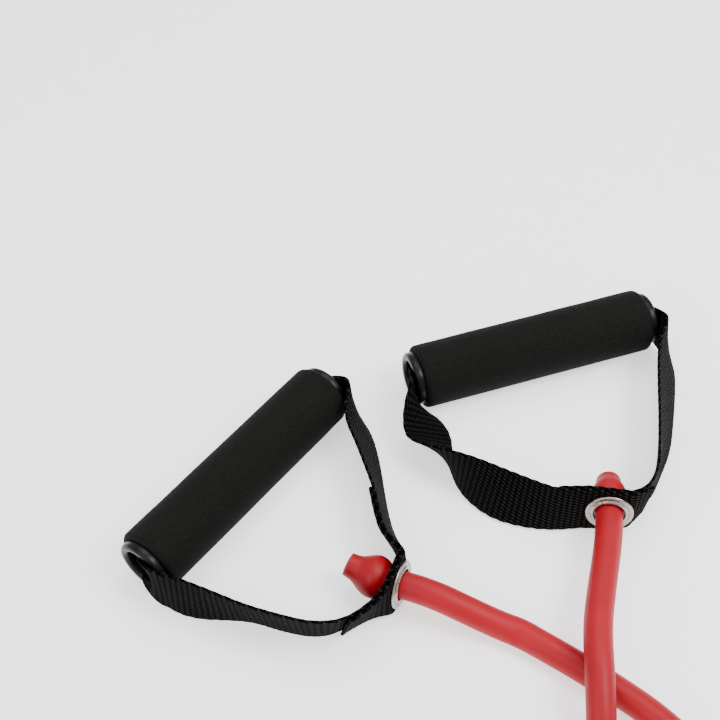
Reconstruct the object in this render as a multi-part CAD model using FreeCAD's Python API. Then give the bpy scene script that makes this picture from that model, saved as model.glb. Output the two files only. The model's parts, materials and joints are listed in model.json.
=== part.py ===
import FreeCAD, Part
import math
import os

# Resistance band: a hollow rubber tube whose two ends pass through the eyelets of two hand
# loops. Each hand loop is one strip of webbing that runs through a foam-covered grip and laps
# over itself at the eyelet. Millimetres, +Z up, lying on the floor z = 0, with the origin under
# the middle of the two handles.

Vector = FreeCAD.Vector
UP = Vector(0, 0, 1)

# Rubber tube and the ball in each of its ends
TUBE_R = 6.25
TUBE_BORE_R = 3.75
FLOOR_Z = TUBE_R + 0.05
CROSSING_Z = FLOOR_Z + 2 * TUBE_R + 3.0
BALL_R = 7.0
BALL_BACK = 9.8
BULB_START = 3.5
BULB_R = 9.75
TIP_BACK = 23.5
TIP_R = 5.5
SLIT_R = 2.6
RUN_SHARE = 0.45
EXIT_RUN = 16.0

# Grip: foam sleeve on a plastic core with a flanged cap in each end
GRIP_LENGTH = 122.0
FOAM_R = 16.0
FOAM_EDGE = 2.2
CORE_R = 12.0
CORE_WALL = 1.75
CAP_BORE_R = 9.0
CAP_FLANGE_R = 13.25
CAP_FLANGE = 4.2
CAP_LIP = 1.9
SPIGOT_LENGTH = 12.0
PIECE_GAP = 0.05

# Webbing strip
WEB_WIDTH = 28.0
WEB_THICK = 1.5
WEB_STEPS = 6
LAP_OFFSET = 0.85

# Metal eyelet through both layers of the lap, with a washer behind
EYELET_BORE_R = 7.0
EYELET_BARREL_R = 7.6
EYELET_FLANGE_R = 11.0
WEB_HOLE_R = 7.7
WASHER_R = 9.0
WASHER_THICK = 0.6
EYELET_Z = 14.3
EYELET_PITCH = 6.5
LAP_FACE = LAP_OFFSET + WEB_THICK / 2

# Where the webbing leaves the grip, round the end cap's lip: distance along the grip from its
# middle, distance from its axis towards the hand opening, and the curl across the strip in
# degrees, where None follows the bore
MOUTH = [(63.3, 7.85, None), (66.1, 8.3, None), (67.3, 10.2, 15)]

# Each handle: the grip's middle and yaw, the eyelet's place and heading, and the loop of the
# webbing's centre line, counter-clockwise from the left mouth of the grip to the right one.
# A loop point is x, y, z, the lean of the strip's top edge towards the hand opening, and the fold
# of its bottom edge towards the hand opening, both in degrees. PLATE stands for the flat stretch
# at the eyelet, where each step of the plate is a distance along the strip and such a fold.
PLATE = "plate"
HANDLES = {
    "a": {
        "grip": Vector(-83.5, -13.6, FOAM_R),
        "yaw": 51.8,
        "eyelet": Vector(-10.7, -71.1, EYELET_Z),
        "heading": -22.0,
        "loop": [
            (-111.8, -75.4, 14.8, 0, 0),
            (-105.5, -77.9, 14.6, 5, 0),
            (-96.7, -80.8, 14.6, 2, 0),
            (-86.0, -83.2, 14.6, -7, 0),
            (-74.8, -85.9, 14.3, -15, 0),
            (-61.0, -90.6, 14.3, -14, 0),
            (-46.4, -94.0, 14.3, -16, 0),
            (-34.0, -92.6, 14.1, -19, 0),
            (-21.6, -84.0, 14.3, -14, 30),
            PLATE,
            (-12.0, -50.5, 14.1, 23, 0),
            (-15.8, -41.0, 14.3, 17, 0),
            (-18.3, -28.2, 14.4, 15, 0),
            (-20.4, -14.6, 14.3, 20, 0),
            (-23.4, 0.0, 13.6, 26, 0),
            (-26.8, 12.5, 13.1, 31, 0),
            (-28.9, 22.8, 13.8, 24, 0),
            (-30.4, 29.8, 15.4, 7, 0),
        ],
        "plate": [(-9.5, 45), (0, 45), (9.5, 40)],
        "lap": (7, 13),
        "first_layer": 1,
    },
    "b": {
        "grip": Vector(59.7, 63.6, FOAM_R),
        "yaw": 18.4,
        "eyelet": Vector(87.4, -32.7, EYELET_Z),
        "heading": -98.0,
        "loop": [
            (2.2, 28.4, 13.6, -34, 0),
            (4.6, 20.6, 9.6, -57, 0),
            (6.6, 11.8, 8.0, -62, 0),
            (10.4, 1.2, 12.4, -35, 0),
            (16.4, -7.6, 14.3, -8, 0),
            (25.4, -15.6, 14.1, 14, 0),
            (37.0, -23.4, 13.4, 26, 0),
            (50.6, -29.4, 14.0, 20, 0),
            (63.0, -32.2, 14.6, 9, 0),
            PLATE,
            (104.3, -28.0, 14.6, -6, 25),
            (110.6, -17.5, 14.5, 1, 0),
            (114.8, -4.5, 14.4, 10, 0),
            (119.6, 10.5, 14.0, 20, 0),
            (122.9, 28.0, 13.7, 24, 0),
            (126.3, 47.5, 13.4, 27, 0),
            (128.8, 61.5, 13.7, 25, 0),
            (130.0, 71.0, 15.2, 8, 0),
        ],
        "plate": [(-11.0, 0), (0, 15), (9.5, 45)],
        "lap": (8, 11),
        "first_layer": -1,
    },
}

# Route of the tube between its straight exits from the two eyelets: a kink near the left handle,
# then two loose turns
ROUTE = [
    (22.0, -83.5, 10.5),
    (42.5, -90.8, FLOOR_Z),
    (73.5, -111.5, FLOOR_Z),
    (101.0, -133.5, FLOOR_Z),
    (119.0, -160.0, FLOOR_Z),
    (122.0, -198.0, FLOOR_Z),
    (105.0, -238.0, FLOOR_Z),
    (70.0, -267.0, FLOOR_Z),
    (24.0, -278.0, FLOOR_Z),
    (-18.0, -271.0, FLOOR_Z),
    (-48.0, -248.0, FLOOR_Z),
    (-66.0, -216.0, CROSSING_Z),
    (-63.0, -181.0, CROSSING_Z),
    (-38.0, -154.0, FLOOR_Z),
    (0.0, -147.0, FLOOR_Z),
    (37.0, -156.0, CROSSING_Z),
    (74.0, -171.0, CROSSING_Z),
    (102.0, -188.0, CROSSING_Z),
    (130.0, -213.0, CROSSING_Z),
    (141.0, -252.0, FLOOR_Z),
    (117.0, -289.0, FLOOR_Z),
    (73.0, -305.0, FLOOR_Z),
    (22.0, -311.0, FLOOR_Z),
    (-28.0, -302.0, FLOOR_Z),
    (-73.0, -283.0, FLOOR_Z),
    (-98.0, -255.0, FLOOR_Z),
    (-99.0, -224.0, FLOOR_Z),
    (-78.0, -198.5, FLOOR_Z),
    (-38.0, -191.5, FLOOR_Z),
    (-12.0, -194.0, FLOOR_Z),
    (20.0, -190.0, FLOOR_Z),
    (51.0, -181.0, FLOOR_Z),
    (70.5, -154.0, FLOOR_Z),
    (71.5, -122.0, CROSSING_Z),
    (73.0, -98.0, CROSSING_Z),
    (77.5, -78.0, 19.5),
]


def direction(yaw, pitch=0.0):
    yaw = math.radians(yaw)
    pitch = math.radians(pitch)
    level = math.cos(pitch)
    return Vector(math.cos(yaw) * level, math.sin(yaw) * level, math.sin(pitch))


def unit(vector):
    return Vector(vector) / vector.Length


def revolved(edges, origin, axis, side):
    """A solid of revolution from edges drawn in the plane of axis (x) and side (y)."""
    face = Part.Face(Part.Wire(edges))
    solid = face.revolve(Vector(0, 0, 0), Vector(1, 0, 0), 360)
    third = axis.cross(side)
    solid.Placement = FreeCAD.Placement(origin, FreeCAD.Rotation(axis, side, third, "XYZ"))
    return solid


def polyline(points):
    """Edges through (along, radius) points."""
    corners = [Vector(x, r, 0) for x, r in points]
    return [Part.makeLine(a, b) for a, b in zip(corners, corners[1:])]


# ---------------------------------------------------------------- grip

def foam_grip(handle):
    half = GRIP_LENGTH / 2
    e = FOAM_EDGE
    cut = e * (1 - math.sqrt(0.5))
    bore = CORE_R + PIECE_GAP
    left = Part.Arc(Vector(-half, FOAM_R - e, 0), Vector(-half + cut, FOAM_R - cut, 0),
                    Vector(-half + e, FOAM_R, 0)).toShape()
    right = Part.Arc(Vector(half - e, FOAM_R, 0), Vector(half - cut, FOAM_R - cut, 0),
                     Vector(half, FOAM_R - e, 0)).toShape()
    top = polyline([(-half + e, FOAM_R), (half - e, FOAM_R)])
    rest = polyline([(half, FOAM_R - e), (half, bore), (-half, bore), (-half, FOAM_R - e)])
    return revolved([left] + top + [right] + rest, handle["grip"], handle["u"], UP)


def grip_core(handle):
    half = GRIP_LENGTH / 2
    bore = CORE_R - CORE_WALL
    edges = polyline([(-half, bore), (half, bore), (half, CORE_R), (-half, CORE_R), (-half, bore)])
    return revolved(edges, handle["grip"], handle["u"], UP)


def end_cap(handle, side):
    """A flange with a rounded lip, and a spigot in the core's bore."""
    inner = GRIP_LENGTH / 2 + PIECE_GAP
    outer = inner + CAP_FLANGE
    spigot_r = CORE_R - CORE_WALL - PIECE_GAP
    lip = CAP_LIP
    cut = lip * (1 - math.sqrt(0.5))
    flange_r = CAP_FLANGE_R
    lip_arc = Part.Arc(Vector(outer - lip, flange_r, 0), Vector(outer - cut, flange_r - cut, 0),
                       Vector(outer, flange_r - lip, 0)).toShape()
    mouth_arc = Part.Arc(Vector(outer, CAP_BORE_R + lip, 0), Vector(outer - cut, CAP_BORE_R + cut, 0),
                         Vector(outer - lip, CAP_BORE_R, 0)).toShape()
    rim = polyline([(outer, flange_r - lip), (outer, CAP_BORE_R + lip)])
    rest = polyline([(outer - lip, CAP_BORE_R), (inner - SPIGOT_LENGTH, CAP_BORE_R),
                     (inner - SPIGOT_LENGTH, spigot_r), (inner, spigot_r), (inner, flange_r),
                     (outer - lip, flange_r)])
    return revolved([lip_arc] + rim + [mouth_arc] + rest, handle["grip"], handle["u"] * side, UP)


# ---------------------------------------------------------------- webbing

def mouth_stations(handle, side):
    """The stations from the bore round the end cap's lip, in that order."""
    stations = []
    for along, reach, curl in MOUTH:
        centre = handle["grip"] + handle["u"] * (side * along) + handle["inward"] * reach
        if curl is None:
            stations.append((centre, 0, math.degrees(WEB_WIDTH / reach), 0, False, handle["u"] * -1))
        else:
            stations.append((centre, 0, curl, 0, False, None))
    return stations


def loop_stations(handle):
    """Each station is (centre, lean, curl, fold, in_lap, along) round the loop."""
    stations = mouth_stations(handle, -1)
    first, last = handle["lap"]
    for i, point in enumerate(handle["loop"]):
        if point == PLATE:
            for step, fold in handle["plate"]:
                centre = handle["eyelet"] + handle["run"] * step
                stations.append((centre, EYELET_PITCH, 0, fold, True, handle["run"]))
        else:
            x, y, z, lean, fold = point
            stations.append((Vector(x, y, z), lean, 0, fold, first <= i < last, None))
    return stations + mouth_stations(handle, 1)[::-1]


def strip_frames(handle):
    """The stations with the strip's own directions: across it (up) and out of the loop."""
    stations = loop_stations(handle)
    frames = []
    for i, (centre, lean, curl, fold, in_lap, along) in enumerate(stations):
        if along is None:
            chord = stations[i + 1][0] - stations[i - 1][0]
            along = unit(Vector(chord.x, chord.y, 0))
        inside = UP.cross(along)
        tilt = math.radians(lean)
        across = UP * math.cos(tilt) + inside * math.sin(tilt)
        outside = UP * math.sin(tilt) - inside * math.cos(tilt)
        frames.append((centre, across, outside, curl, fold, in_lap))
    return frames


def strip_section(centre, across, outside, curl, fold, offset):
    """The strip's closed cross-section: flat, curled about the outside of the loop, or with its
    bottom edge folded towards the hand opening."""
    step = WEB_WIDTH / WEB_STEPS
    slopes = [math.radians(curl) * ((k + 0.5) / WEB_STEPS - 0.5) for k in range(WEB_STEPS)]
    slopes[0] += math.radians(fold)
    pieces = [across * (step * math.cos(a)) + outside * (step * math.sin(a)) for a in slopes]
    spine = [Vector(0, 0, 0)]
    for piece in pieces:
        spine.append(spine[-1] + piece)
    middle = spine[WEB_STEPS // 2]
    tilts = [slopes[0]] + [(a + b) / 2 for a, b in zip(slopes, slopes[1:])] + [slopes[-1]]
    faces = []
    for depth in (-WEB_THICK / 2, WEB_THICK / 2):
        row = []
        for place, tilt in zip(spine, tilts):
            normal = outside * math.cos(tilt) - across * math.sin(tilt)
            row.append(centre + outside * offset + place - middle + normal * depth)
        faces.append(row)
    ring = faces[0] + faces[1][::-1]
    return Part.makePolygon(ring + ring[:1])


def webbing_strap(handle):
    """One strip: from its first end at the lap, round the right arm, the bore and the left arm,
    to its second end on the other side of the lap."""
    frames = strip_frames(handle)
    lap = [i for i, frame in enumerate(frames) if frame[5]]
    layer = LAP_OFFSET * handle["first_layer"]
    sections = []
    for i in range(lap[0], len(frames)):
        *place, in_lap = frames[i]
        sections.append(strip_section(*place, layer if in_lap else 0))
    for i in range(0, lap[-1] + 1):
        *place, in_lap = frames[i]
        sections.append(strip_section(*place, -layer if in_lap else 0))
    strip = Part.makeLoft(sections, True, True)
    drill = Part.makeCylinder(WEB_HOLE_R, 20, handle["eyelet"] - handle["axis"] * 10, handle["axis"])
    return strip.cut(drill)


# ---------------------------------------------------------------- eyelet

def eyelet(handle):
    """Barrel with a domed flange in front and a rolled edge behind the washer."""
    bore = EYELET_BORE_R
    barrel = EYELET_BARREL_R
    front = LAP_FACE + PIECE_GAP
    back = -(LAP_FACE + 2 * PIECE_GAP + WASHER_THICK)
    roll_r = barrel + 1.4
    dome = Part.Arc(Vector(front + 1.0, bore, 0), Vector(front + 1.7, bore + 1.2, 0),
                    Vector(front + 0.8, EYELET_FLANGE_R - 0.6, 0)).toShape()
    edge = Part.Arc(Vector(front + 0.8, EYELET_FLANGE_R - 0.6, 0),
                    Vector(front + 0.5, EYELET_FLANGE_R - 0.1, 0),
                    Vector(front, EYELET_FLANGE_R, 0)).toShape()
    roll = Part.Arc(Vector(back, roll_r, 0), Vector(back - 0.5, roll_r + 0.4, 0),
                    Vector(back - 0.9, roll_r, 0)).toShape()
    inside = polyline([(back - 0.9, bore), (front + 1.0, bore)])
    shoulder = polyline([(front, EYELET_FLANGE_R), (front, barrel), (back, barrel), (back, roll_r)])
    close = polyline([(back - 0.9, roll_r), (back - 0.9, bore)])
    edges = inside + [dome, edge] + shoulder + [roll] + close
    return revolved(edges, handle["eyelet"], handle["axis"], handle["run"])


def eyelet_washer(handle):
    start = -(LAP_FACE + PIECE_GAP)
    end = start - WASHER_THICK
    edges = polyline([(start, WEB_HOLE_R), (start, WASHER_R), (end, WASHER_R), (end, WEB_HOLE_R),
                      (start, WEB_HOLE_R)])
    return revolved(edges, handle["eyelet"], handle["axis"], handle["run"])


# ---------------------------------------------------------------- tube

def stopper_ball(handle):
    return Part.makeSphere(BALL_R, handle["eyelet"] - handle["axis"] * BALL_BACK)


def tube_bulb(handle):
    """The tube's end, stretched over the ball, tapering to an open tip behind it."""
    cavity_r = BALL_R + PIECE_GAP
    front = BALL_BACK - math.sqrt(cavity_r**2 - TUBE_BORE_R**2)
    rear = BALL_BACK + math.sqrt(cavity_r**2 - SLIT_R**2)
    skin = Part.BSplineCurve()
    skin.interpolate([Vector(-x, r, 0) for x, r in (
        (BULB_START, TUBE_R), (6.2, 8.7), (BALL_BACK, BULB_R), (13.8, 8.7), (17.0, 7.0),
        (20.0, 5.9), (TIP_BACK, TIP_R))])
    tip = polyline([(-TIP_BACK, TIP_R), (-TIP_BACK, SLIT_R + 0.6), (-rear, SLIT_R)])
    cavity = Part.Arc(Vector(-rear, SLIT_R, 0), Vector(-BALL_BACK, cavity_r, 0),
                      Vector(-front, TUBE_BORE_R, 0)).toShape()
    mouth = polyline([(-front, TUBE_BORE_R), (-BULB_START, TUBE_BORE_R), (-BULB_START, TUBE_R)])
    edges = [skin.toShape()] + tip + [cavity] + mouth
    return revolved(edges, handle["eyelet"], handle["axis"], handle["run"])


def rounded_path(points):
    """Straight runs joined by tangent arcs, each as large as its two runs allow."""
    edges = []
    radii = []
    start = points[0]
    for before, corner, after in zip(points, points[1:], points[2:]):
        back = unit(before - corner)
        ahead = unit(after - corner)
        turn = math.pi - back.getAngle(ahead)
        reach = RUN_SHARE * min((before - corner).Length, (after - corner).Length)
        radius = reach / math.tan(turn / 2)
        bisector = unit(back + ahead)
        middle = corner + bisector * (math.hypot(reach, radius) - radius)
        edges.append(Part.makeLine(start, corner + back * reach))
        edges.append(Part.Arc(corner + back * reach, middle, corner + ahead * reach).toShape())
        start = corner + ahead * reach
        radii.append(radius)
    edges.append(Part.makeLine(start, points[-1]))
    return Part.Wire(edges), radii


def resistance_tube(start, end):
    points = [start["eyelet"] + start["axis"] * along for along in (-BULB_START, EXIT_RUN)]
    points += [Vector(*point) for point in ROUTE]
    points += [end["eyelet"] + end["axis"] * along for along in (EXIT_RUN, -BULB_START)]
    path, radii = rounded_path(points)
    rings = [Part.Wire(Part.makeCircle(r, points[0], start["axis"])) for r in (TUBE_R, TUBE_BORE_R)]
    outer, bore = [path.makePipeShell([ring], True, False) for ring in rings]
    pipe = outer.cut(bore)
    section = math.pi * (TUBE_R**2 - TUBE_BORE_R**2)
    print("tube: length %.0f mm, volume %.0f mm3, section times length %.0f mm3"
          % (path.Length, pipe.Volume, section * path.Length))
    print("radii mm:", " ".join("%.0f" % radius for radius in radii))
    return pipe.fuse([tube_bulb(start), tube_bulb(end)]).removeSplitter()


def main():
    os.makedirs("parts", exist_ok=True)
    for handle in HANDLES.values():
        handle["u"] = direction(handle["yaw"])
        handle["inward"] = handle["u"].cross(UP)
        handle["axis"] = direction(handle["heading"], EYELET_PITCH)
        handle["run"] = direction(handle["heading"] + 90)
    nodes = {"resistance_tube": resistance_tube(HANDLES["a"], HANDLES["b"])}
    for name, handle in HANDLES.items():
        nodes["stopper_ball_" + name] = stopper_ball(handle)
        nodes["foam_grip_" + name] = foam_grip(handle)
        nodes["grip_core_" + name] = grip_core(handle)
        nodes["end_cap_left_" + name] = end_cap(handle, -1)
        nodes["end_cap_right_" + name] = end_cap(handle, 1)
        nodes["webbing_strap_" + name] = webbing_strap(handle)
        nodes["eyelet_" + name] = eyelet(handle)
        nodes["eyelet_washer_" + name] = eyelet_washer(handle)
    for name, shape in nodes.items():
        shape.exportStep("parts/%s.step" % name)
        print("%-18s solids %d  volume %8.0f mm3" % (name, len(shape.Solids), shape.Volume))


main()
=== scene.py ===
import json
import math

import bpy
import numpy as np
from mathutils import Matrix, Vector, noise


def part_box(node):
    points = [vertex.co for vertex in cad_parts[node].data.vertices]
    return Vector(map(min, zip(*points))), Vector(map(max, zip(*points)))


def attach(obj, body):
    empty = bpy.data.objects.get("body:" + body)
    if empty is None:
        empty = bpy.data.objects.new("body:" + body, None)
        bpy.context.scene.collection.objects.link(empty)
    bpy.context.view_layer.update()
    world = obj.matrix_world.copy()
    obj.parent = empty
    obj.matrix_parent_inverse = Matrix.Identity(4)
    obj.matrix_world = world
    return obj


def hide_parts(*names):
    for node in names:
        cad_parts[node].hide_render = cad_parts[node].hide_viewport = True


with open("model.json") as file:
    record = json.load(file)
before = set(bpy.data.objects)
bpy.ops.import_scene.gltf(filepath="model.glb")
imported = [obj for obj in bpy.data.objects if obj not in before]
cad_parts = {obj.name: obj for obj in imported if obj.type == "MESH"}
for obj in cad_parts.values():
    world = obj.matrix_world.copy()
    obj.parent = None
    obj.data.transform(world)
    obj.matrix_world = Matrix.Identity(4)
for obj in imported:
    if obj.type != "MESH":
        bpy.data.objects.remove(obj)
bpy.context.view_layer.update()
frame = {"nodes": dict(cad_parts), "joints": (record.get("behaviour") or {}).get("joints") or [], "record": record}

# Resistance band: red rubber tube, two foam grips on plastic cores with glossy end caps, and two
# webbing hand loops with a metal eyelet each. Metres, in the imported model's frame.

MM = 0.001
UP = Vector((0, 0, 1))
JOINTS = {joint["name"]: joint for joint in frame["joints"]}

# Tube: the height of its centre on the floor and where it crosses over itself, and its control
# points in front of each eyelet, just behind it and in the ball
TUBE_R = 6.25 * MM
FLOOR_Z = TUBE_R + 0.05 * MM
CROSSING_Z = FLOOR_Z + 2 * TUBE_R + 3 * MM
EXIT_RUN = 16 * MM
BACK_RUN = 3.5 * MM
BALL_RUN = 13 * MM
TUBE_SIDES = 48
LINE_STEPS = 20

# The skin's unevenness as a share of the tube's radius, and its scale along and round the tube
SKIN_UNEVEN = 0.008
SKIN_ALONG = 55
SKIN_ROUND = 0.6

# Kink: its place, the reach and the shares of the radius by which the tube is wider and lower
# round it, and the reach and depth of the dent on its inner side
KINK = Vector((0.0425, -0.0908, FLOOR_Z))
KINK_REACH = 7 * MM
KINK_WIDER = 0.05
KINK_LOWER = 0.07
DENT_REACH = 2.6 * MM
DENT_DEPTH = 0.16

# Each end of the tube: how far its tip lies behind the eyelet and above the line through the
# eyelet, and its share of the swelling in BULB
TIP_BACK = {"a": 23.5 * MM, "b": 18.5 * MM}
TIP_RISE = {"a": 4.5 * MM, "b": -2.1 * MM}
SWELLING = {"a": 1.0, "b": 0.5}
TIP_RIM = 0.25 * MM

# Distance behind the eyelet and radius of the tube's stretched end in millimetres, from the
# eyelet to the tip, for the longer of the two ends
BULB = [(0, 6.25), (2.0, 6.25), (3.2, 6.5), (4.6, 7.8), (6.8, 9.3), (9.6, 9.9), (12.6, 9.5),
        (15.2, 8.3), (17.4, 6.9), (19.4, 5.9), (22.0, 5.5), (23.5, 5.35)]

# Route of the tube between its straight exits from the two eyelets
ROUTE = [
    (0.0220, -0.0835, 0.0105),
    (0.0340, -0.0878, 0.0070),
    tuple(KINK),
    (0.0500, -0.0958, FLOOR_Z),
    (0.0735, -0.1115, FLOOR_Z),
    (0.1010, -0.1335, FLOOR_Z),
    (0.1190, -0.1600, FLOOR_Z),
    (0.1220, -0.1980, FLOOR_Z),
    (0.1050, -0.2380, FLOOR_Z),
    (0.0700, -0.2670, FLOOR_Z),
    (0.0240, -0.2780, FLOOR_Z),
    (-0.0180, -0.2710, FLOOR_Z),
    (-0.0480, -0.2480, FLOOR_Z),
    (-0.0660, -0.2160, CROSSING_Z),
    (-0.0630, -0.1810, CROSSING_Z),
    (-0.0380, -0.1540, FLOOR_Z),
    (0.0000, -0.1470, FLOOR_Z),
    (0.0370, -0.1560, CROSSING_Z),
    (0.0740, -0.1710, CROSSING_Z),
    (0.1020, -0.1880, CROSSING_Z),
    (0.1300, -0.2130, CROSSING_Z),
    (0.1410, -0.2520, FLOOR_Z),
    (0.1170, -0.2890, FLOOR_Z),
    (0.0730, -0.3050, FLOOR_Z),
    (0.0220, -0.3110, FLOOR_Z),
    (-0.0280, -0.3020, FLOOR_Z),
    (-0.0730, -0.2830, FLOOR_Z),
    (-0.0980, -0.2550, FLOOR_Z),
    (-0.0990, -0.2240, FLOOR_Z),
    (-0.0780, -0.1985, FLOOR_Z),
    (-0.0380, -0.1915, FLOOR_Z),
    (-0.0120, -0.1940, FLOOR_Z),
    (0.0200, -0.1900, FLOOR_Z),
    (0.0510, -0.1810, FLOOR_Z),
    (0.0705, -0.1540, FLOOR_Z),
    (0.0715, -0.1220, CROSSING_Z),
    (0.0730, -0.0980, CROSSING_Z),
    (0.0775, -0.0780, 0.0195),
]

# Webbing: the strip, its mesh's steps, how far each layer of the lap is moved, and the hole at the
# eyelet, with how far from the eyelet's middle it reaches
WEB_WIDTH = 28 * MM
WEB_THICK = 1.5 * MM
WEB_STEP = 0.54 * MM
WEB_COLUMNS = 52
EDGE_ROUND = 1.1 * MM
LAP_OFFSET = 0.85 * MM
HOLE_R = 7.65 * MM
HOLE_DEPTH = 4 * MM

# Weave: the width of a rib and of the yarns in it, how much they slant, how steeply their relief
# falls towards their own sides and the rib's, and the scallops along the strip's edges
RIB = 2.7 * MM
YARN = 1.8 * MM
YARN_SLANT = 0.75
YARN_FALL = 7.0
RIB_FALL = 3.4
YARN_HEIGHT = 0.16 * MM
SELVEDGE = 0.35 * MM
SELVEDGE_SHARE = 0.46

# A fold's bend, as shares of the strip's width from its middle towards its bottom edge
FOLD_START = 0.29
FOLD_BEND = 0.08

# Name of the UV map that holds a place on the flat strip
STRIP_MAP = "Strip"

# Grip
GRIP_HALF = 61 * MM
FOAM_R = 16 * MM
FOAM_BORE_R = 12.05 * MM
FOAM_EDGE = 2.2 * MM
FOAM_SIDES = 128
FOAM_STEPS = 90

# The foam's unevenness, as pairs of scale and height, and how far it is drawn in to make room
FOAM_UNEVEN = [(60, 0.10 * MM), (450, 0.06 * MM)]
FOAM_INSET = 0.12 * MM

# Where the webbing leaves the grip, round the end cap's lip: distance along the grip from its
# middle, distance from its axis towards the hand opening, and the curl across the strip in
# degrees, where None follows the bore
MOUTH = [(0.0633, 0.00785, None), (0.0661, 0.0083, None), (0.0673, 0.0102, 15)]

# Each hand loop's stations, counter-clockwise from the left mouth of the grip to the right one:
# x, y, z, the lean of the strip's top edge towards the hand opening and the fold of its bottom
# edge towards the hand opening, in degrees. PLATE stands for the flat stretch at the eyelet, with
# a distance along the strip and such a fold for each of its steps.
PLATE = "plate"
LOOPS = {
    "a": [
        (-0.1118, -0.0754, 0.0148, 0, 0),
        (-0.1055, -0.0779, 0.0146, 5, 0),
        (-0.0967, -0.0808, 0.0146, 2, 0),
        (-0.0860, -0.0832, 0.0146, -7, 0),
        (-0.0748, -0.0859, 0.0143, -15, 0),
        (-0.0610, -0.0906, 0.0143, -14, 0),
        (-0.0464, -0.0940, 0.0143, -16, 0),
        (-0.0340, -0.0926, 0.0141, -19, 0),
        (-0.0216, -0.0840, 0.0143, -14, 30),
        PLATE,
        (-0.0120, -0.0505, 0.0141, 23, 0),
        (-0.0158, -0.0410, 0.0143, 17, 0),
        (-0.0183, -0.0282, 0.0144, 15, 0),
        (-0.0204, -0.0146, 0.0143, 20, 0),
        (-0.0234, 0.0000, 0.0136, 26, 0),
        (-0.0268, 0.0125, 0.0131, 31, 0),
        (-0.0289, 0.0228, 0.0138, 24, 0),
        (-0.0304, 0.0298, 0.0154, 7, 0),
    ],
    "b": [
        (0.0022, 0.0284, 0.0136, -34, 0),
        (0.0046, 0.0206, 0.0096, -57, 0),
        (0.0066, 0.0118, 0.0080, -62, 0),
        (0.0104, 0.0012, 0.0124, -35, 0),
        (0.0164, -0.0076, 0.0143, -8, 0),
        (0.0254, -0.0156, 0.0141, 14, 0),
        (0.0370, -0.0234, 0.0134, 26, 0),
        (0.0506, -0.0294, 0.0140, 20, 0),
        (0.0630, -0.0322, 0.0146, 9, 0),
        PLATE,
        (0.1043, -0.0280, 0.0146, -6, 25),
        (0.1106, -0.0175, 0.0145, 1, 0),
        (0.1148, -0.0045, 0.0144, 10, 0),
        (0.1196, 0.0105, 0.0140, 20, 0),
        (0.1229, 0.0280, 0.0137, 24, 0),
        (0.1263, 0.0475, 0.0134, 27, 0),
        (0.1288, 0.0615, 0.0137, 25, 0),
        (0.1300, 0.0710, 0.0152, 8, 0),
    ],
}
PLATES = {
    "a": [(-0.0095, 45), (-0.0080, 45), (0.0, 45), (0.0080, 42), (0.0095, 40)],
    "b": [(-0.0110, 0), (-0.0090, 3), (0.0, 15), (0.0080, 40), (0.0095, 45)],
}

# Where the strip's two ends lap over each other: the first of the loop's stations in the lap and
# the one after its last. The first end is the outer one at 1 and the one nearer the hand at -1.
LAPS = {"a": (7, 13), "b": (8, 11)}
FIRST_LAYER = {"a": 1, "b": -1}


# ------------------------------------------------------------------ handles

class Handle:
    """A handle's places and directions, read from its two joints, and its rows of the tables."""

    def __init__(self, name):
        swivel = JOINTS["loop_swivel_" + name]
        spin = JOINTS["grip_spin_" + name]
        self.name = name
        self.eyelet = Vector(swivel["pos_m"])
        self.axis = Vector(swivel["axis"]).normalized()
        self.run = UP.cross(self.axis).normalized()
        self.grip = Vector(spin["pos_m"])
        self.grip_axis = Vector(spin["axis"]).normalized()
        self.inward = self.grip_axis.cross(UP)
        self.loop = LOOPS[name]
        self.plate = PLATES[name]
        self.lap = LAPS[name]
        self.first_layer = FIRST_LAYER[name]
        self.tip_back = TIP_BACK[name]
        self.tip_rise = TIP_RISE[name]
        self.swelling = SWELLING[name]
        # How far the ball reaches behind the eyelet
        low, high = [Vector(corner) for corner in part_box("stopper_ball_" + name)]
        self.ball_reach = (self.eyelet - (low + high) / 2).dot(self.axis) + (high.x - low.x) / 2


HANDLES = [Handle(name) for name in "ab"]


# ------------------------------------------------------------------ meshes

def mesh_object(name, points, faces, material, uvs=None):
    """A smooth-shaded mesh object. uvs holds one pair for each point."""
    mesh = bpy.data.meshes.new(name)
    mesh.from_pydata([tuple(p) for p in points], [], faces)
    mesh.polygons.foreach_set("use_smooth", [True] * len(mesh.polygons))
    if uvs is not None:
        layer = mesh.uv_layers.new(name=STRIP_MAP)
        corners = np.zeros(len(mesh.loops), np.int32)
        mesh.loops.foreach_get("vertex_index", corners)
        layer.data.foreach_set("uv", np.asarray(uvs, np.float32)[corners].ravel())
    mesh.materials.append(material)
    mesh.validate()
    made = bpy.data.objects.new(name, mesh)
    bpy.context.scene.collection.objects.link(made)
    return made


def rings_to_faces(rings, sides):
    """Quads between neighbouring rings of points."""
    faces = []
    for i in range(rings - 1):
        for k in range(sides):
            n = (k + 1) % sides
            faces.append((i * sides + k, i * sides + n, (i + 1) * sides + n, (i + 1) * sides + k))
    return faces


def turned(profile, origin, axis, side, sides):
    """Points of a profile of (along, radius) turned about an axis, one ring for each pair."""
    third = axis.cross(side)
    points = []
    for along, radius in profile:
        for k in range(sides):
            angle = 2 * math.pi * k / sides
            out = side * math.cos(angle) + third * math.sin(angle)
            points.append(origin + axis * along + out * radius)
    return points


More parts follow.
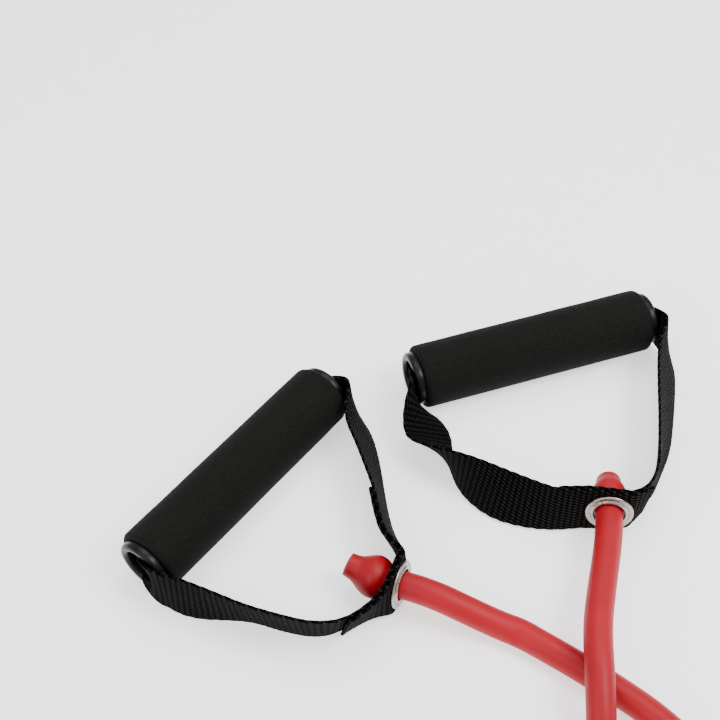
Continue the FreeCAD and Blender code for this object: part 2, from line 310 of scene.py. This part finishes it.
def turned_piece(name, profile, origin, axis, side, sides, material, dents=()):
    """A closed ring from a profile that goes over its front from the outside to the bore. A dent
    is (first ring, the ring after its last, columns, depth)."""
    points = turned(profile, origin, axis, side, sides)
    for first, last, columns, depth in dents:
        for i in range(first, last):
            for k in columns:
                points[i * sides + k] -= axis * depth
    faces = rings_to_faces(len(profile), sides)
    end = (len(profile) - 1) * sides
    for k in range(sides):
        n = (k + 1) % sides
        faces.append((end + k, end + n, n, k))
    return mesh_object(name, points, faces, material)


def spline(rows, steps):
    """A smooth run of rows from the first of these to the last, with them as the control points
    of a quadratic B-spline."""
    rows = np.asarray(rows, float)
    rows = np.concatenate([2 * rows[:1] - rows[1:2], rows, 2 * rows[-1:] - rows[-2:-1]])
    s = np.linspace(-0.5, 0.5, steps, endpoint=False).reshape((-1,) + (1,) * (rows.ndim - 1))
    runs = [0.5 * (0.5 - s)**2 * a + (0.75 - s**2) * b + 0.5 * (0.5 + s)**2 * c
            for a, b, c in zip(rows, rows[1:], rows[2:])]
    return np.concatenate(runs)[steps // 2:-(steps // 2) + 1]


# ------------------------------------------------------------------ materials

class Nodes:
    """Short ways to build a node material."""

    def __init__(self, name):
        self.material = bpy.data.materials.new(name)
        self.material.use_nodes = True
        self.tree = self.material.node_tree
        self.shader = self.tree.nodes["Principled BSDF"]

    def set(self, key, value):
        self.shader.inputs[key].default_value = value

    def link(self, source, target):
        self.tree.links.new(source, target)

    def put(self, socket, value):
        if isinstance(value, bpy.types.NodeSocket):
            self.link(value, socket)
        else:
            socket.default_value = value

    def math(self, operation, a, b=0.0):
        node = self.tree.nodes.new("ShaderNodeMath")
        node.operation = operation
        self.put(node.inputs[0], a)
        self.put(node.inputs[1], b)
        return node.outputs[0]

    def subtract(self, a, b):
        return self.math("SUBTRACT", a, b)

    def multiply(self, a, b):
        return self.math("MULTIPLY", a, b)

    def fall(self, value, steepness):
        """1 at a value of 0, falling with its square."""
        return self.subtract(1.0, self.multiply(self.multiply(value, value), steepness))

    def place(self):
        return self.tree.nodes.new("ShaderNodeTexCoord").outputs["Object"]

    def noise(self, scale, detail, rough=0.5):
        node = self.tree.nodes.new("ShaderNodeTexNoise")
        node.inputs["Scale"].default_value = scale
        node.inputs["Detail"].default_value = detail
        node.inputs["Roughness"].default_value = rough
        self.link(self.place(), node.inputs["Vector"])
        return node.outputs["Fac"]

    def cells(self, scale):
        node = self.tree.nodes.new("ShaderNodeTexVoronoi")
        node.inputs["Scale"].default_value = scale
        self.link(self.place(), node.inputs["Vector"])
        return node.outputs["Distance"]

    def strip_place(self):
        """The two coordinates of the strip's own UV map: along it and across it, in metres."""
        source = self.tree.nodes.new("ShaderNodeUVMap")
        source.uv_map = STRIP_MAP
        split = self.tree.nodes.new("ShaderNodeSeparateXYZ")
        self.link(source.outputs["UV"], split.inputs[0])
        return split.outputs["X"], split.outputs["Y"]

    def ramp(self, factor, low, high, start=0.3, end=0.7):
        node = self.tree.nodes.new("ShaderNodeValToRGB")
        node.color_ramp.elements[0].position = start
        node.color_ramp.elements[1].position = end
        node.color_ramp.elements[0].color = (*low, 1)
        node.color_ramp.elements[1].color = (*high, 1)
        self.link(factor, node.inputs["Fac"])
        return node.outputs["Color"]

    def spread(self, factor, low, high, start=0.3, end=0.7):
        """A factor mapped from start..end to low..high."""
        node = self.tree.nodes.new("ShaderNodeMapRange")
        for key, value in (("From Min", start), ("From Max", end), ("To Min", low), ("To Max", high)):
            node.inputs[key].default_value = value
        self.link(factor, node.inputs["Value"])
        return node.outputs["Result"]

    def bump(self, height, distance, strength, under=None):
        node = self.tree.nodes.new("ShaderNodeBump")
        node.inputs["Distance"].default_value = distance
        node.inputs["Strength"].default_value = strength
        self.link(height, node.inputs["Height"])
        if under is not None:
            self.link(under, node.inputs["Normal"])
        return node.outputs["Normal"]

    def use(self, color, roughness, normal=None):
        """The finished material."""
        self.put(self.shader.inputs["Base Color"], color)
        self.put(self.shader.inputs["Roughness"], roughness)
        if normal is not None:
            self.put(self.shader.inputs["Normal"], normal)
        return self.material


def rubber_material():
    """Matt latex: a faint bloom in patches, fine specks and a very fine skin."""
    nodes = Nodes("red_rubber")
    bloom = nodes.noise(28, 3)
    color = nodes.ramp(bloom, (0.29, 0.002, 0.008), (0.37, 0.004, 0.013), 0.35, 0.65)
    skin = nodes.bump(nodes.noise(2600, 2), 0.03 * MM, 0.5)
    waves = nodes.bump(nodes.noise(90, 2), 0.5 * MM, 0.25, skin)
    rough = nodes.spread(bloom, 0.44, 0.54)
    nodes.set("Specular IOR Level", 0.24)
    return nodes.use(color, rough, waves)


def foam_material():
    """Matt closed-cell foam: tiny cells and a slightly uneven, warm black."""
    nodes = Nodes("grip_foam")
    grain = nodes.noise(1100, 4, 0.65)
    patches = nodes.noise(40, 3)
    worn = nodes.multiply(grain, nodes.spread(patches, 0.46, 0.54, 0.0, 1.0))
    color = nodes.ramp(worn, (0.0012, 0.0012, 0.0011), (0.0105, 0.0105, 0.0094), 0.14, 0.38)
    fine = nodes.bump(nodes.cells(1500), 0.12 * MM, 0.5)
    coarse = nodes.bump(grain, 0.25 * MM, 0.8, fine)
    nodes.set("Specular IOR Level", 0.12)
    return nodes.use(color, nodes.spread(grain, 0.85, 0.98), coarse)


def cap_plastic_material():
    """Glossy black plastic, slightly rubbed."""
    nodes = Nodes("cap_plastic")
    wear = nodes.noise(160, 4, 0.6)
    color = nodes.ramp(wear, (0.003, 0.003, 0.003), (0.007, 0.007, 0.007))
    nodes.set("Specular IOR Level", 0.16)
    return nodes.use(color, nodes.spread(wear, 0.24, 0.36), nodes.bump(nodes.noise(700, 2), 0.02 * MM, 0.3))


def core_plastic_material():
    """Dark matt plastic."""
    nodes = Nodes("core_plastic")
    grain = nodes.noise(900, 3)
    color = nodes.ramp(grain, (0.014, 0.014, 0.014), (0.024, 0.024, 0.024))
    return nodes.use(color, nodes.spread(grain, 0.45, 0.6), nodes.bump(grain, 0.04 * MM, 0.5))


def ball_plastic_material():
    """Plain cream plastic."""
    nodes = Nodes("ball_plastic")
    grain = nodes.noise(500, 3)
    color = nodes.ramp(grain, (0.72, 0.70, 0.64), (0.80, 0.79, 0.74))
    return nodes.use(color, nodes.spread(grain, 0.35, 0.5), nodes.bump(grain, 0.03 * MM, 0.4))


def metal_material():
    """Nickel plate with faint turning marks."""
    nodes = Nodes("eyelet_metal")
    marks = nodes.noise(900, 4, 0.7)
    color = nodes.ramp(marks, (0.27, 0.25, 0.22), (0.42, 0.395, 0.355))
    nodes.set("Metallic", 1.0)
    return nodes.use(color, nodes.spread(marks, 0.24, 0.42), nodes.bump(marks, 0.02 * MM, 0.4))


def webbing_material():
    """Black webbing: slanting yarns in a staggered lattice, read from the strip's own UV map, with a painted
    highlight on the yarns' ridges and painted shade in the grooves between them.
    """
    nodes = Nodes("webbing")
    along, across = nodes.strip_place()
    rib = nodes.math("DIVIDE", along, RIB)
    column = nodes.math("FLOOR", rib)
    in_rib = nodes.subtract(nodes.subtract(rib, column), 0.5)
    yarn = nodes.math("ADD", nodes.math("DIVIDE", across, YARN), nodes.multiply(column, 0.5))
    in_yarn = nodes.subtract(nodes.subtract(yarn, nodes.math("FLOOR", yarn)), 0.5)
    slant = nodes.math("ADD", in_yarn, nodes.multiply(in_rib, YARN_SLANT))
    wrapped = nodes.subtract(slant, nodes.math("ROUND", slant))
    ridges = nodes.multiply(nodes.fall(wrapped, YARN_FALL), nodes.fall(in_rib, RIB_FALL))
    height = nodes.math("MAXIMUM", ridges, 0.0)
    fibres = nodes.noise(1500, 3, 0.6)
    # Painted highlight and shade: the colour is lighter on the yarns' ridges and darker in the grooves between
    # them, following the weave's relief
    lit = nodes.multiply(height, nodes.spread(fibres, 0.55, 1.0))
    color = nodes.ramp(lit, (0.0002, 0.0002, 0.0002), (0.022, 0.022, 0.0208), 0.36, 0.92)
    fuzz = nodes.bump(fibres, 0.08 * MM, 0.5)
    weave = nodes.bump(height, 0.34 * MM, 1.0, fuzz)
    nodes.set("Specular IOR Level", 0.035)
    return nodes.use(color, nodes.spread(height, 0.9, 0.5, 0.0, 1.0), weave)


def floor_material():
    """White paper that gives off some light, which keeps it near white."""
    nodes = Nodes("floor_paper")
    grain = nodes.noise(60, 2)
    color = nodes.ramp(grain, (0.93, 0.93, 0.93), (0.95, 0.95, 0.95))
    nodes.set("Specular IOR Level", 0.0)
    nodes.set("Emission Strength", 1.0)
    nodes.set("Emission Color", (1, 1, 1, 1))
    return nodes.use(color, 0.9)


MATERIALS = {
    "red_rubber": rubber_material(),
    "grip_foam": foam_material(),
    "cap_plastic": cap_plastic_material(),
    "core_plastic": core_plastic_material(),
    "ball_plastic": ball_plastic_material(),
    "eyelet_metal": metal_material(),
    "webbing": webbing_material(),
}


# ------------------------------------------------------------------ tube

def route_line(points):
    """The smooth line of a NURBS spline that has these points as its control points."""
    data = bpy.data.curves.new("route", "CURVE")
    data.dimensions = "3D"
    data.resolution_u = LINE_STEPS
    track = data.splines.new("NURBS")
    track.points.add(len(points) - 1)
    for point, place in zip(track.points, points):
        point.co = (*place, 1)
    track.order_u = 3
    track.use_endpoint_u = True
    holder = bpy.data.objects.new("route", data)
    mesh = bpy.data.meshes.new_from_object(holder)
    line = [vertex.co.copy() for vertex in mesh.vertices]
    bpy.data.meshes.remove(mesh)
    bpy.data.objects.remove(holder)
    return line


BULB_LINE = spline(BULB, steps=16)


def tube_end(handle):
    """Control points from the tube's tip, through the ball and the eyelet, to its straight exit."""
    tip = handle.eyelet - handle.axis * handle.tip_back + UP * handle.tip_rise
    straight = [handle.eyelet + handle.axis * run for run in (-BALL_RUN, -BACK_RUN, EXIT_RUN)]
    return [tip] + straight


def tube_radius(handle, travelled):
    """The tube's radius at a distance from its tip, swollen where the ball is inside."""
    back = (handle.tip_back - travelled) * BULB[-1][0] / handle.tip_back
    full = float(np.interp(back, BULB_LINE[:, 0], BULB_LINE[:, 1])) * MM
    return TUBE_R + (full - TUBE_R) * handle.swelling


def kink_shape(place, out, side):
    """How far the kink pushes a point of the skin out, as a share of the tube's radius."""
    distance = (place - KINK).length
    near = math.exp(-((distance / KINK_REACH) ** 2))
    dent = math.exp(-((distance / DENT_REACH) ** 2))
    inner_side = max(0.0, -out.dot(side))
    top = max(0.0, out.dot(UP))
    wider = KINK_WIDER * near * abs(out.dot(side))
    return wider - KINK_LOWER * near * top - DENT_DEPTH * dent * inner_side * top


def tube_tip(points, first, centre, back_axis, flipped, depth):
    """The tube's open tip: a thin rim, then the bore drawn in to a flattened slit of this depth."""
    outer = [points[first + k] - centre for k in range(TUBE_SIDES)]
    # (distance behind the tip, share of the width, share of the height) of each ring
    inside = [(TIP_RIM, 0.96, 0.96), (1.4 * TIP_RIM, 0.86, 0.84), (0.4 * TIP_RIM, 0.76, 0.62),
              (-0.14 * depth, 0.70, 0.46), (-0.5 * depth, 0.62, 0.34), (-depth, 0.30, 0.16)]
    faces = []
    before = first
    for back, wide, tall in inside:
        start = len(points)
        for spoke in outer:
            level = spoke - UP * spoke.z
            points.append(centre + back_axis * back + level * wide + UP * spoke.z * tall)
        for k in range(TUBE_SIDES):
            n = (k + 1) % TUBE_SIDES
            quad = (before + k, start + k, start + n, before + n)
            faces.append(quad if flipped else quad[::-1])
        before = start
    closing = [before + k for k in range(TUBE_SIDES)]
    faces.append(tuple(closing[::-1]) if flipped else tuple(closing))
    return faces


def resistance_tube(start, end):
    """The whole tube from one tip to the other, with a ring of points at each place of its line."""
    line = route_line(tube_end(start) + [Vector(p) for p in ROUTE] + tube_end(end)[::-1])
    gaps = [(b - a).length for a, b in zip(line, line[1:])]
    total = sum(gaps)
    points = []
    travelled = 0.0
    side = UP.cross(line[1] - line[0]).normalized()
    for i, place in enumerate(line):
        ahead = (line[min(i + 1, len(line) - 1)] - line[max(i - 1, 0)]).normalized()
        side = (side - ahead * side.dot(ahead)).normalized()
        third = ahead.cross(side)
        if travelled < total / 2:
            radius = tube_radius(start, travelled)
        else:
            radius = tube_radius(end, total - travelled)
        for k in range(TUBE_SIDES):
            angle = 2 * math.pi * k / TUBE_SIDES
            out = side * math.cos(angle) + third * math.sin(angle)
            uneven = SKIN_UNEVEN * noise.noise(place * SKIN_ALONG + out * SKIN_ROUND)
            swell = kink_shape(place, out, side) + uneven
            points.append(place + out * radius * (1 + swell))
        if i < len(gaps):
            travelled += gaps[i]
    rings = len(line)
    faces = rings_to_faces(rings, TUBE_SIDES)
    faces += tube_tip(points, 0, line[0], (line[0] - line[1]).normalized(), True,
                      start.tip_back - start.ball_reach)
    faces += tube_tip(points, (rings - 1) * TUBE_SIDES, line[-1], (line[-1] - line[-2]).normalized(),
                      False, end.tip_back - end.ball_reach)
    made = mesh_object("tube", points, faces, MATERIALS["red_rubber"])
    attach(made, "band")
    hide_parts("resistance_tube")


# ------------------------------------------------------------------ webbing

def mouth_stations(handle, side):
    """The stations from the bore round the end cap's lip, in that order."""
    stations = []
    for along, reach, curl in MOUTH:
        centre = handle.grip + handle.grip_axis * (side * along) + handle.inward * reach
        if curl is None:
            stations.append((centre, 0, math.degrees(WEB_WIDTH / reach), 0, False, -handle.grip_axis))
        else:
            stations.append((centre, 0, curl, 0, False, None))
    return stations


def loop_stations(handle):
    """The stations round the loop, each as (centre, lean, curl, fold, in_lap, along), where an
    along of None is worked out from the stations beside it."""
    pitch = math.degrees(math.asin(handle.axis.z))
    stations = mouth_stations(handle, -1)
    for i, point in enumerate(handle.loop):
        if point == PLATE:
            for step, fold in handle.plate:
                centre = handle.eyelet + handle.run * step
                stations.append((centre, pitch, 0, fold, True, handle.run))
        else:
            in_lap = handle.lap[0] <= i < handle.lap[1]
            stations.append((Vector(point[:3]), point[3], 0, point[4], in_lap, None))
    return stations + mouth_stations(handle, 1)[::-1]


def section(centre, across, outside, curl, fold, offset):
    """The strip's middle line across its width, as WEB_COLUMNS + 1 points."""
    share = (np.arange(WEB_COLUMNS) + 0.5) / WEB_COLUMNS - 0.5
    slope = math.radians(curl) * share
    slope += math.radians(fold) * np.clip((-share - FOLD_START) / FOLD_BEND, 0, 1)
    steps = np.stack([np.cos(slope), np.sin(slope)], 1) * WEB_WIDTH / WEB_COLUMNS
    places = np.concatenate([[[0, 0]], np.cumsum(steps, 0)])
    places -= places[WEB_COLUMNS // 2]
    middle = np.array(centre + outside * offset)
    return middle + places[:, :1] * np.array(across) + places[:, 1:] * np.array(outside)


def strip_sections(handle):
    """The sections in the order of the one strip: first end, right arm, bore, left arm and second
    end, each end moved to its own side of the lap."""
    stations = loop_stations(handle)
    frames = []
    for i, (centre, lean, curl, fold, in_lap, along) in enumerate(stations):
        if along is None:
            along = stations[i + 1][0] - stations[i - 1][0]
            along = Vector((along.x, along.y, 0)).normalized()
        inside = UP.cross(along)
        tilt = math.radians(lean)
        across = UP * math.cos(tilt) + inside * math.sin(tilt)
        outside = UP * math.sin(tilt) - inside * math.cos(tilt)
        frames.append((centre, across, outside, curl, fold, in_lap))
    lap = [i for i, row in enumerate(frames) if row[5]]
    layer = LAP_OFFSET * handle.first_layer
    first = [section(*row[:5], layer * row[5]) for row in frames[lap[0]:]]
    second = [section(*row[:5], -layer * row[5]) for row in frames[:lap[-1] + 1]]
    return first + second


def unit_rows(rows):
    """These vectors at length 1."""
    return rows / np.linalg.norm(rows, axis=-1)[..., None]


def yarn_height(along, across):
    """The weave's relief, from 0 to 1, at places on the flat strip."""
    rib = along / RIB
    column = np.floor(rib)
    in_rib = rib - column - 0.5
    yarn = across / YARN + column * 0.5
    in_yarn = yarn - np.floor(yarn) - 0.5
    slant = in_yarn + YARN_SLANT * in_rib
    slant = slant - np.round(slant)
    return np.clip((1 - YARN_FALL * slant**2) * (1 - RIB_FALL * in_rib**2), 0, 1)


def strip_mesh(handle, grids, along, across):
    """A closed strip from its two faces, with a round hole where the eyelet's barrel goes."""
    rows, columns = grids[0].shape[:2]
    eyelet = np.array(handle.eyelet)
    axis = np.array(handle.axis)

    def radial(points):
        """Each point's distance along the eyelet's axis, offset from the axis and its length."""
        offset = points - eyelet
        depth = offset @ axis
        out = offset - depth[..., None] * axis
        return depth, out, np.linalg.norm(out, axis=-1)

    middles = (grids[0][:-1, :-1] + grids[0][1:, 1:]) / 2
    depth, _, distance = radial(middles)
    gone = (distance < HOLE_R) & (np.abs(depth) < HOLE_DEPTH)
    for grid in grids:
        _, out, distance = radial(grid)
        corner = np.zeros((rows, columns), int)
        for di in (0, 1):
            for dk in (0, 1):
                corner[di:rows - 1 + di, dk:columns - 1 + dk] += gone
        rim = (corner > 0) & (corner < 4)
        grid[rim] += out[rim] * (HOLE_R / distance[rim] - 1)[:, None]
    points = np.concatenate([grid.reshape(-1, 3) for grid in grids])
    uv = np.stack(np.meshgrid(along, across, indexing="ij"), -1).reshape(-1, 2)
    second = rows * columns

    def cell(i, k):
        """Whether the strip has a cell here."""
        return 0 <= i < rows - 1 and 0 <= k < columns - 1 and not gone[i, k]

    faces = []
    for i in range(rows - 1):
        for k in range(columns - 1):
            if gone[i, k]:
                continue
            a, b = i * columns + k, i * columns + k + 1
            c, d = (i + 1) * columns + k + 1, (i + 1) * columns + k
            faces.append((a, d, c, b))
            faces.append((second + a, second + b, second + c, second + d))
            for near_i, near_k, p, q in ((i - 1, k, a, b), (i, k + 1, b, c),
                                         (i + 1, k, c, d), (i, k - 1, d, a)):
                if not cell(near_i, near_k):
                    faces.append((p, q, second + q, second + p))
    return mesh_object("strap_" + handle.name, points, faces, MATERIALS["webbing"],
                       np.concatenate([uv, uv]))


def webbing_strap(handle):
    """One strip of webbing: even steps along its smooth run, the weave's relief on both faces."""
    fine = spline(strip_sections(handle), steps=32)
    gaps = np.linalg.norm(np.diff(fine[:, WEB_COLUMNS // 2], axis=0), axis=1)
    travelled = np.concatenate([[0], np.cumsum(gaps)])
    along = np.linspace(0, travelled[-1], int(travelled[-1] / WEB_STEP))
    # Held just short of the last row, so that every place has a row after it
    place = np.clip(np.interp(along, travelled, np.arange(len(fine))), 0, len(fine) - 1.001)
    low = place.astype(int)
    part = (place - low)[:, None, None]
    middle = fine[low] * (1 - part) + fine[low + 1] * part
    across = unit_rows(np.gradient(middle, axis=1))
    normal = unit_rows(np.cross(np.gradient(middle, axis=0), across))
    share = np.linspace(-0.5, 0.5, WEB_COLUMNS + 1)[None, :]
    bumps = SELVEDGE * (np.abs(np.sin(np.pi * along / (2 * RIB))) - 0.5)[:, None]
    middle = middle + across * (np.sign(share) * bumps * (np.abs(share) > SELVEDGE_SHARE))[..., None]
    inset = np.clip((np.abs(share) * WEB_WIDTH - WEB_WIDTH / 2 + EDGE_ROUND) / EDGE_ROUND, 0, 1)
    half = WEB_THICK / 2 * np.sqrt(1 - inset**2)
    weave = (yarn_height(along[:, None], share * WEB_WIDTH) - 0.5) * YARN_HEIGHT * (1 - inset)
    grids = [middle + normal * (sign * (half + weave))[..., None] for sign in (1, -1)]
    made = strip_mesh(handle, grids, along, share[0] * WEB_WIDTH)
    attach(made, "hand_loop_" + handle.name)
    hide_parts("webbing_strap_" + handle.name)


# ------------------------------------------------------------------ grip

def foam_profile():
    """(along, radius) from one end's bore round the outside to the other end's bore."""
    corner = [math.pi / 2 * k / 8 for k in range(9)]
    end = [(GRIP_HALF, FOAM_BORE_R)]
    end += [(GRIP_HALF - FOAM_EDGE * (1 - math.cos(a)), FOAM_R - FOAM_EDGE * (1 - math.sin(a)))
            for a in corner]
    straight = np.linspace(-GRIP_HALF + FOAM_EDGE, GRIP_HALF - FOAM_EDGE, FOAM_STEPS + 2)[1:-1]
    return [(-along, radius) for along, radius in end] + [(x, FOAM_R) for x in straight] + end[::-1]


def foam_grip(handle):
    """The foam sleeve, uneven outside and true in its bore."""
    profile = foam_profile()
    shaped = []
    for point in turned(profile, handle.grip, handle.grip_axis, UP, FOAM_SIDES):
        offset = point - handle.grip
        out = offset - handle.grip_axis * offset.dot(handle.grip_axis)
        rough = sum(noise.noise(point * scale) * height for scale, height in FOAM_UNEVEN)
        share = (out.length - FOAM_BORE_R) / (FOAM_R - FOAM_BORE_R)
        shaped.append(point + out.normalized() * (rough - FOAM_INSET) * max(0.0, share))
    rings = len(profile)
    faces = [face[::-1] for face in rings_to_faces(rings, FOAM_SIDES)]
    last = (rings - 1) * FOAM_SIDES
    for k in range(FOAM_SIDES):
        n = (k + 1) % FOAM_SIDES
        faces.append((last + k, k, n, last + n))
    made = mesh_object("foam_" + handle.name, shaped, faces, MATERIALS["grip_foam"])
    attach(made, "grip_" + handle.name)
    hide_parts("foam_grip_" + handle.name)


# ------------------------------------------------------------------ eyelet

# (distance in front of the eyelet's middle, radius) in millimetres, round the eyelet's section:
# outer rim, outer lip, groove, inner lip, bore, and the roll behind the washer
EYELET_SECTION = [
    (1.66, 10.95), (1.95, 11.0), (2.3, 10.85), (2.62, 10.45), (2.72, 9.95), (2.66, 9.5),
    (2.42, 9.2), (2.38, 9.0), (2.55, 8.8), (2.95, 8.55), (3.2, 8.2), (3.28, 7.85), (3.2, 7.5),
    (2.95, 7.2), (2.5, 7.04), (1.6, 7.0), (-1.6, 7.0), (-2.5, 7.03), (-2.95, 7.2), (-3.2, 7.6),
    (-3.22, 8.1), (-3.05, 8.6), (-2.7, 8.95), (-2.4, 8.9), (-2.32, 8.4), (-2.32, 7.6),
    (0.0, 7.56), (1.66, 7.6), (1.66, 9.4)]
EYELET_SIDES = 144

# The seam across the inner lip: its angle, its depth, and its first ring of the section and the
# one after its last
SEAM_ANGLE = math.radians(118)
SEAM_DEPTH = 0.45 * MM
SEAM_RINGS = (8, 15)


def eyelet(handle):
    """The eyelet, rolled from sheet metal, with its fine seam."""
    profile = [(along * MM, radius * MM) for along, radius in EYELET_SECTION]
    seam = round(SEAM_ANGLE / (2 * math.pi) * EYELET_SIDES)
    dent = (*SEAM_RINGS, (seam, seam + 1), SEAM_DEPTH)
    made = turned_piece("eyelet_ring_" + handle.name, profile, handle.eyelet, handle.axis,
                        handle.run, EYELET_SIDES, MATERIALS["eyelet_metal"], [dent])
    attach(made, "hand_loop_" + handle.name)
    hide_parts("eyelet_" + handle.name)


# ------------------------------------------------------------------ end caps

# Distances along the grip are from its middle
CAP_FACE = 65.25 * MM
CAP_FOOT = GRIP_HALF + 0.05 * MM
CAP_BACK = 49.05 * MM
CAP_R = 13.25 * MM
CAP_BORE_R = 9 * MM
CAP_LIP = 1.9 * MM
CAP_SIDES = 128
SPIGOT_R = 10.2 * MM


def cap_profile():
    """(along, radius) from behind the flange, over its rounded lip, into the bore and back."""
    turns = [math.pi / 2 * k / 12 for k in range(13)]
    outer = [(CAP_FACE - CAP_LIP * (1 - math.sin(a)), CAP_R - CAP_LIP * (1 - math.cos(a)))
             for a in turns]
    inner = [(CAP_FACE - CAP_LIP * (1 - math.cos(a)), CAP_BORE_R + CAP_LIP * (1 - math.sin(a)))
             for a in turns]
    edge = [(CAP_FOOT, CAP_R - 0.5 * MM), (CAP_FOOT + 0.12 * MM, CAP_R - 0.15 * MM),
            (CAP_FOOT + 0.5 * MM, CAP_R)]
    spigot = [(CAP_BACK, CAP_BORE_R), (CAP_BACK, SPIGOT_R), (CAP_FOOT, SPIGOT_R)]
    return edge + outer + inner + spigot


def end_cap(handle, name, side):
    """The cap at one end of a grip. side is 1 at the end that the grip's axis points to."""
    made = turned_piece("cap_%s_%s" % (name, handle.name), cap_profile(), handle.grip,
                        handle.grip_axis * side, UP, CAP_SIDES, MATERIALS["cap_plastic"])
    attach(made, "grip_" + handle.name)
    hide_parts("end_cap_%s_%s" % (name, handle.name))


# ------------------------------------------------------------------ stage

FLOOR_HALF = 4.0
SKY_STRENGTH = 0.9

# Each lamp: name, place, size and power
LAMPS = [("key", (0.55, -0.15, 0.9), 0.5, 9),
         ("fill", (-0.6, -0.5, 0.7), 0.8, 4),
         ("top", (0.0, 0.35, 1.0), 0.7, 5)]

CAMERA_PLACE = (-0.027, -0.35395, 0.50406)
CAMERA_PITCH = math.radians(40)
CAMERA_LENS = 63.35
CAMERA_SENSOR = 36


def area_light(name, place, size, power):
    """A round lamp that points at the origin."""
    data = bpy.data.lights.new(name, "AREA")
    data.shape = "DISK"
    data.size = size
    data.energy = power
    lamp = bpy.data.objects.new(name, data)
    lamp.location = place
    lamp.rotation_euler = (-Vector(place)).to_track_quat("-Z", "Y").to_euler()
    bpy.context.scene.collection.objects.link(lamp)


def stage():
    """The floor, the white surroundings and the lamps."""
    corners = [(x * FLOOR_HALF, y * FLOOR_HALF, 0) for x, y in ((-1, -1), (1, -1), (1, 1), (-1, 1))]
    floor = mesh_object("floor", corners, [(0, 1, 2, 3)], floor_material())
    world = bpy.data.worlds.new("studio")
    bpy.context.scene.world = world
    world.use_nodes = True
    sky = world.node_tree.nodes["Background"]
    sky.inputs["Color"].default_value = (1, 1, 1, 1)
    sky.inputs["Strength"].default_value = SKY_STRENGTH
    for name, place, size, power in LAMPS:
        area_light(name, place, size, power)


def camera():
    """The view from the tube's side, 50 degrees above the floor."""
    data = bpy.data.cameras.new("camera")
    data.sensor_width = CAMERA_SENSOR
    data.lens = CAMERA_LENS
    data.clip_start = 0.01
    data.clip_end = 10
    eye = bpy.data.objects.new("camera", data)
    eye.location = CAMERA_PLACE
    eye.rotation_euler = (CAMERA_PITCH, 0, 0)
    bpy.context.scene.collection.objects.link(eye)
    bpy.context.scene.camera = eye


camera()
stage()
resistance_tube(*HANDLES)
for handle in HANDLES:
    webbing_strap(handle)
    foam_grip(handle)
    eyelet(handle)
    end_cap(handle, "left", -1)
    end_cap(handle, "right", 1)
# The CAD solids that are still seen show the materials that the record names
for part in frame["record"]["subparts"]:
    node = frame["nodes"][part["node"]]
    node.data.materials.clear()
    node.data.materials.append(MATERIALS[part["material_slot"]])
